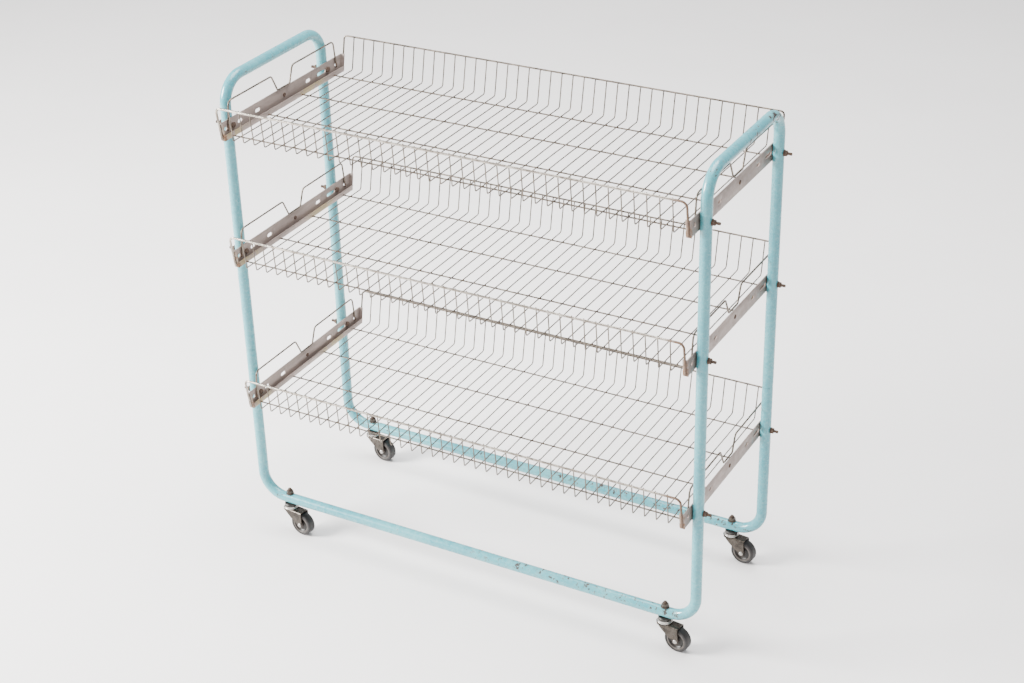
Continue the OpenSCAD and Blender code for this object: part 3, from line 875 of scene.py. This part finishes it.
def add_brackets():
    shared = bracket_mesh()
    for level in SHELVES:
        for side, sign in SIDES.items():
            mesh = shared.copy()
            for name, value_at in (("wear_and_shade", bracket_rust), ("stain", bracket_stain)):
                values = [value_at(v.co) for v in mesh.vertices]
                mesh.attributes.new(name, "FLOAT", "POINT").data.foreach_set("value", values)
            mesh.transform(Matrix.Translation((0, 0, SHELF_Z[level])))
            if sign < 0:
                mesh.transform(Matrix.Diagonal((-1, 1, 1, 1)))
                mesh.flip_normals()
            show(f"{level}_{side}_channel", mesh, ROOT, [f"{level}_{side}_bracket"],
                 SHEET_ZINC, 30)
    bpy.data.meshes.remove(shared)


# ---------------------------------------------------------------- fasteners


def hex_radius(across_flats):
    """Radius of a chamfered hexagon: flat sides, cut back by a cone at both ends."""
    def radius_at(turn, r, z):
        sector = (turn + math.pi / 6) % (math.pi / 3) - math.pi / 6
        return min(r, across_flats / 2 / math.cos(sector))
    return radius_at


def nut(across_flats, height, bore, wear_and_shade=0.0):
    corner = across_flats / 2 / math.cos(math.pi / 6)
    flat = across_flats / 2
    profile = [(bore, 0), (flat * 0.96, 0), (flat * 1.04, height * 0.05), (corner, height * 0.16),
               (corner, height * 0.84), (flat * 1.04, height * 0.95), (flat * 0.96, height),
               (bore * 1.12, height), (bore, height * 0.93), (bore, 0)]
    return lathe(profile, 72, lambda p: wear_and_shade, hex_radius(across_flats))


def head(across_flats, height, wear_and_shade=0.0):
    corner = across_flats / 2 / math.cos(math.pi / 6)
    flat = across_flats / 2
    profile = [(0, 0), (flat * 0.97, 0), (corner, height * 0.04), (corner, height * 0.80),
               (flat * 1.04, height * 0.94), (flat * 0.94, height), (0, height)]
    return lathe(profile, 72, lambda p: wear_and_shade, hex_radius(across_flats))


def thread(radius, pitch, start, end, wear_and_shade=0.0):
    """A threaded shank from one height to another, its tip chamfered."""
    depth = pitch * 0.45
    steps = max(4, round((end - start) / (pitch / 6)))

    def radius_at(turn, r, z):
        phase = (z / pitch - turn / (2 * math.pi)) % 1
        groove = depth * abs(2 * phase - 1)
        tip = max(0.0, 1 - (end - z) / pitch)
        return max(r - groove - tip * depth, r * 0.6)

    profile = [(0, start)] + [(radius, start + (end - start) * k / steps)
                              for k in range(steps + 1)] + [(0, end)]
    return lathe(profile, 28, lambda p: wear_and_shade, radius_at)


def washer(radius, bore, thickness, wear_and_shade=0.0):
    ease = thickness * 0.2
    profile = [(bore, 0), (radius - ease, 0), (radius, ease), (radius, thickness - ease),
               (radius - ease, thickness), (bore, thickness), (bore, 0)]
    return lathe(profile, 48, lambda p: wear_and_shade)


def outwards(sign):
    """Turns +Z to point out of the cart at one side."""
    return Matrix.Rotation(sign * math.pi / 2, 4, "Y")


BOLT_PLACES = [(sign, y, SHELF_Z[level] + BOLT_RISE) for level in SHELVES
               for sign in (-1, 1) for y in (LEG_FRONT_Y, LEG_BACK_Y)]


def add_fastener_group(name, node, material, places, piece_of):
    """One object holding a piece at each place; piece_of gives the build and its matrix."""
    whole = Build()
    for number, place in enumerate(places):
        build, matrix = piece_of(number, place)
        build = build.placed(matrix)
        whole.add(build.verts, build.faces, build.wear_and_shade)
    show(name, make_mesh(name, whole), ROOT, [node], material, 35)


def shelf_fasteners():
    chance = random.Random(4)
    turns = [chance.uniform(0, math.pi / 3) for _ in BOLT_PLACES]
    head_h, shank_r, tip = 4 * MM, 3 * MM, LEG_X + 26.5 * MM
    washer_x, washer_t = LEG_X + TUBE_R, 1.4 * MM

    def at(sign, x, y, z, turn=0.0):
        place = Matrix.Translation((sign * x, y, z))
        return place @ outwards(sign) @ Matrix.Rotation(turn, 4, "Z")

    def bolt(i, place):
        sign, y, z = place
        build = Build()
        cap = head(10 * MM, head_h, 0.3).placed(Matrix.Rotation(math.pi, 4, "X"))
        build.add(cap.verts, cap.faces, cap.wear_and_shade)
        shank = thread(shank_r, 1 * MM, 0, tip - WEB_IN_X, 0.3)
        build.add(shank.verts, shank.faces, shank.wear_and_shade)
        return build, at(sign, WEB_IN_X, y, z, turns[i])

    def flat_ring(i, place):
        sign, y, z = place
        return washer(6.5 * MM, 3.3 * MM, washer_t, 0.3), at(sign, washer_x, y, z)

    def hex_nut(i, place):
        sign, y, z = place
        return nut(10 * MM, 5 * MM, 3.05 * MM, 0.3), at(sign, washer_x + washer_t, y, z, -turns[i])

    add_fastener_group("bolt_set", "shelf_bolts", FASTENER, BOLT_PLACES, bolt)
    add_fastener_group("washer_set", "shelf_washers", FASTENER, BOLT_PLACES,
                       flat_ring)
    add_fastener_group("nut_set", "shelf_nuts", FASTENER, BOLT_PLACES, hex_nut)

    rivet_places = [(sign, LEG_MID_Y + 9 * MM, SHELF_Z[level] + BOLT_RISE)
                    for level in SHELVES for sign in (-1, 1)]

    def rivet(i, place):
        sign, y, z = place
        dome = [(4.5 * MM * math.cos(t), SHEET + 1.5 * MM * math.sin(t))
                for t in (math.radians(15 * k) for k in range(6))]
        profile = [(0, -1.2 * MM), (4 * MM, -1.2 * MM), (4 * MM, 0), (3 * MM, 0),
                   (3 * MM, SHEET)] + dome + [(0, SHEET + 1.5 * MM)]
        return lathe(profile, 32, lambda p: 0.4), at(sign, WEB_IN_X, y, z)

    add_fastener_group("rivet_set", "bracket_rivets", FASTENER, rivet_places,
                       rivet)


# ---------------------------------------------------------------- casters

JOINTS = {joint["name"]: joint for joint in frame["joints"]}
WHEEL_R = JOINTS["front_left_roll"]["pos_m"][2]
WHEEL_W = 19 * MM
FORK_GAP = WHEEL_W + 2.4 * MM
FORK_T = 2 * MM
CROWN_Z = BASE_RAIL_Z - TUBE_R - 14 * MM
CROWN_T = 2.5 * MM
CROWN_R = 17 * MM
CROWN_BACK = -11 * MM
HUB_R = 20 * MM
STEM_TIP = 13 * MM
RAIL_TOP_Z = BASE_RAIL_Z + TUBE_R
RACE_TOP_Z = BASE_RAIL_Z - TUBE_R


def caster_matrix(name):
    """The caster's own frame: origin on the floor under the stem, +X along the trail."""
    stem = Vector(JOINTS[f"{name}_swivel"]["pos_m"])
    axle = Vector(JOINTS[f"{name}_roll"]["pos_m"])
    heading = math.atan2(axle.y - stem.y, axle.x - stem.x)
    trail = math.hypot(axle.x - stem.x, axle.y - stem.y)
    return Matrix.Translation((stem.x, stem.y, 0)) @ Matrix.Rotation(heading, 4, "Z"), trail


def fork_mesh(trail):
    """A pressed strap: up one leg, over the crown and down the other, then thickened."""
    half = FORK_GAP / 2 + FORK_T / 2
    crown_z = CROWN_Z + CROWN_T / 2
    boss = 6.5 * MM
    bend = 4 * MM
    crown_front = trail + 5 * MM
    rows = []

    def leg_span(z):
        """The leg's edges in X at a height."""
        share = min(max((z - WHEEL_R) / (crown_z - WHEEL_R), 0.0), 1.0)
        if z < WHEEL_R:
            drop = min((WHEEL_R - z) / boss, 1.0)
            width = boss * math.sqrt(max(1 - drop * drop, 0.0004))
            return trail - width, trail + width
        back = (trail - boss) * (1 - share) + CROWN_BACK * share
        back -= 3 * MM * math.sin(math.pi * share)
        return back, (trail + boss) * (1 - share) + crown_front * share

    foot = WHEEL_R - boss * 0.995
    heights = [foot + (WHEEL_R - foot) * (1 - math.cos(math.radians(15 * k))) for k in range(7)]
    top = crown_z - bend
    heights += [WHEEL_R + (top - WHEEL_R) * k / 6 for k in range(1, 7)]
    for z in heights:
        rows.append((half, z, *leg_span(z)))
    for k in range(1, 7):
        turn = math.radians(15 * k)
        y = half - bend + bend * math.cos(turn)
        z = top + bend * math.sin(turn)
        low, high = leg_span(crown_z)
        reach = math.sqrt(max(CROWN_R ** 2 - y * y, 0))
        share = k / 6
        rows.append((y, z, low + (-reach - low) * share, high))
    for k in range(1, 5):
        y = (half - bend) * (1 - k / 5)
        reach = math.sqrt(CROWN_R ** 2 - y * y)
        rows.append((y, crown_z, -reach, crown_front))
    rows.append((0, crown_z, -CROWN_R, crown_front))
    rows += [(-y, z, low, high) for y, z, low, high in reversed(rows[:-1])]
    columns = 12
    verts, faces = [], []
    for y, z, low, high in rows:
        for c in range(columns + 1):
            share = (1 - math.cos(math.pi * c / columns)) / 2
            verts.append((low + (high - low) * share, y, z))
    for r in range(len(rows) - 1):
        for c in range(columns):
            a = r * (columns + 1) + c
            faces.append([a, a + 1, a + columns + 2, a + columns + 1])
    item = solid("fork_strap", verts, faces)
    thick = item.modifiers.new("thick", "SOLIDIFY")
    thick.thickness = FORK_T
    thick.offset = 0
    soften = item.modifiers.new("soften", "BEVEL")
    soften.width = 0.45 * MM
    soften.segments = 2
    soften.limit_method = "ANGLE"
    soften.angle_limit = math.radians(50)
    mesh = applied(item)
    wear_and_shade = [0.16 + 0.14 * near(v.co.z, WHEEL_R + 12 * MM, 18 * MM) for v in mesh.vertices]
    mesh.attributes.new("wear_and_shade", "FLOAT", "POINT").data.foreach_set("value", wear_and_shade)
    return mesh


def tyre_build():
    shoulder = 3.6 * MM
    half = WHEEL_W / 2
    inner = HUB_R
    edge = WHEEL_R - shoulder
    side = [(inner, -half + 0.5 * MM), (inner + 0.6 * MM, -half), (edge - 0.4 * MM, -half)]
    low = arc(edge, -half + shoulder, shoulder, -90, 0, 9)
    crown = [(WHEEL_R, -2 * MM), (WHEEL_R, 2 * MM)]
    high = arc(edge, half - shoulder, shoulder, 0, 90, 9)
    other = [(r, -z) for r, z in reversed(side)]
    profile = side + low + crown + high + other + [side[0]]
    return lathe(profile, 128)


def hub_build():
    half = WHEEL_W / 2
    boss_end = FORK_GAP / 2 - 0.4 * MM
    bore = 3.06 * MM
    face = [(bore, boss_end), (6.1 * MM, boss_end), (6.5 * MM, boss_end - 0.5 * MM),
            (6.7 * MM, 4.6 * MM), (7.6 * MM, 4 * MM), (14 * MM, 4 * MM), (15 * MM, 4.5 * MM),
            (16.6 * MM, half - 1.8 * MM), (17.4 * MM, half - 0.8 * MM),
            (19.2 * MM, half - 0.5 * MM), (HUB_R - 0.06 * MM, half - 0.9 * MM)]
    profile = face + [(r, -z) for r, z in reversed(face)] + [face[0]]

    # Marks the recessed hub face, which the wheel centre material darkens with a painted shade.
    def recess_shade(point):
        reach = math.hypot(point.x, point.y)
        return 1.0 if 6.6 * MM < reach < 16.8 * MM else 0.0

    return lathe(list(reversed(profile)), 96, recess_shade)


def dome_profile(radius, height, base):
    return [(radius * math.cos(t), base + height * math.sin(t))
            for t in (math.radians(18 * k) for k in range(5))] + [(0, base + height)]


def axle_build():
    half = FORK_GAP / 2 + FORK_T
    rim = dome_profile(4.6 * MM, 1.8 * MM, half)
    upper = [(3 * MM, 0), (3 * MM, half)] + rim
    profile = [(r, -z) for r, z in reversed(upper[1:])] + upper
    return lathe(profile, 40, lambda p: 0.12)


def cup_build():
    base = CROWN_Z + CROWN_T
    top = RACE_TOP_Z - 5.9 * MM
    bore = 4.06 * MM
    round_r = 1.6 * MM
    outer = arc(15.5 * MM - round_r, base + round_r, round_r, -70, 88, 8)
    profile = [(bore, base), (15 * MM - round_r, base)] + outer
    profile += [(13.9 * MM, base + 3.4 * MM), (13.6 * MM, top), (bore, top), (bore, base)]
    return lathe(profile, 96, lambda p: 0.05)


def race_build():
    low = RACE_TOP_Z - 5.1 * MM
    profile = [(4.05 * MM, low), (12.9 * MM, low), (13.5 * MM, low + 0.6 * MM),
               (13.5 * MM, RACE_TOP_Z - 1.2 * MM), (12.6 * MM, RACE_TOP_Z),
               (4.05 * MM, RACE_TOP_Z), (4.05 * MM, low)]
    return lathe(profile, 96, lambda p: 0.2)


def stem_build():
    bottom = CROWN_Z - 2.06 * MM
    dome = [(6.5 * MM * math.cos(t), bottom + 2 * MM - 2 * MM * math.sin(t))
            for t in (math.radians(18 * k) for k in range(5))]
    build = lathe([(0, bottom)] + list(reversed(dome)) + [(0, bottom + 2 * MM)], 40,
                  lambda p: 0.3)
    shank = lathe([(0, bottom + 2 * MM), (4 * MM, bottom + 2 * MM), (4 * MM, RAIL_TOP_Z),
                   (0, RAIL_TOP_Z)], 40)
    build.add(shank.verts, shank.faces, shank.wear_and_shade)
    tip = thread(4 * MM, 1.25 * MM, RAIL_TOP_Z, RAIL_TOP_Z + STEM_TIP, 0.45)
    build.add(tip.verts, tip.faces, tip.wear_and_shade)
    return build


def add_casters():
    upright = Matrix.Rotation(math.pi / 2, 4, "X")
    places = []
    for name in CASTERS:
        matrix, trail = caster_matrix(name)
        places.append(matrix)
        wheel = matrix @ Matrix.Translation((trail, 0, WHEEL_R)) @ upright
        swivel, rolling = f"{name}_swivel", f"{name}_wheel"
        mesh = fork_mesh(trail)
        mesh.transform(matrix)
        show(f"{name}_pressed_fork", mesh, swivel, [f"{name}_fork"], FORK_STEEL)
        for piece, build, node, body, slot, material in (
                ("race_cup", cup_build().placed(matrix), "cup", swivel, "plated_steel", PLATED),
                ("axle_rivet", axle_build().placed(wheel), "axle", swivel, "plated_steel", PLATED),
                ("wheel_disc", hub_build().placed(wheel), "hub", rolling, "wheel_centre",
                 WHEEL_CENTRE),
                ("rubber_tyre", tyre_build().placed(wheel), "tyre", rolling, "wheel_rubber",
                 RUBBER)):
            show(f"{name}_{piece}", make_mesh(f"{name}_{piece}", build), body,
                 [f"{name}_{node}"], material)

    def at_rail(build_of, height=0.0):
        return lambda i, matrix: (build_of(), matrix @ Matrix.Translation((0, 0, height)))

    add_fastener_group("stem_set", "caster_stems", CASTER_NUT_STEEL, places,
                       at_rail(stem_build))
    add_fastener_group("race_set", "caster_races", DARK_STEEL, places,
                       at_rail(race_build))
    add_fastener_group("stem_washer_set", "caster_washers",
                       CASTER_NUT_STEEL, places,
                       at_rail(lambda: washer(8.5 * MM, 4.3 * MM, 1.6 * MM, 0.1), RAIL_TOP_Z))
    add_fastener_group("stem_nut_set", "caster_nuts", CASTER_NUT_STEEL, places,
                       at_rail(lambda: nut(13 * MM, 6.5 * MM, 4.05 * MM, 0.0),
                               RAIL_TOP_Z + 1.6 * MM))


def finish_cad_nodes():
    """Hidden CAD pieces that stay as they are still get a real material."""
    for node, material in (("joint_sleeves", DARK_STEEL), ("caster_balls", PLATED)):
        mesh = frame["nodes"][node].data
        mesh.materials.clear()
        mesh.materials.append(material)


add_tubes()
for shelf in SHELVES:
    add_slats(shelf)
    add_cross_wires(shelf)
    add_rail(shelf, "front", WEB_X - 4 * MM, FRONT_RAIL_Y, FRONT_LEAN, 11 * MM, FRONT_RAIL_R,
             front_rail_rust)
    add_rail(shelf, "back", WEB_X - 5.5 * MM, BACK_RAIL_Y, BACK_LEAN, 8 * MM, GUARD_R,
             back_rail_rust)
    for side_name, side_sign in SIDES.items():
        add_guard(shelf, side_name, side_sign)
add_brackets()
shelf_fasteners()
add_casters()
finish_cad_nodes()
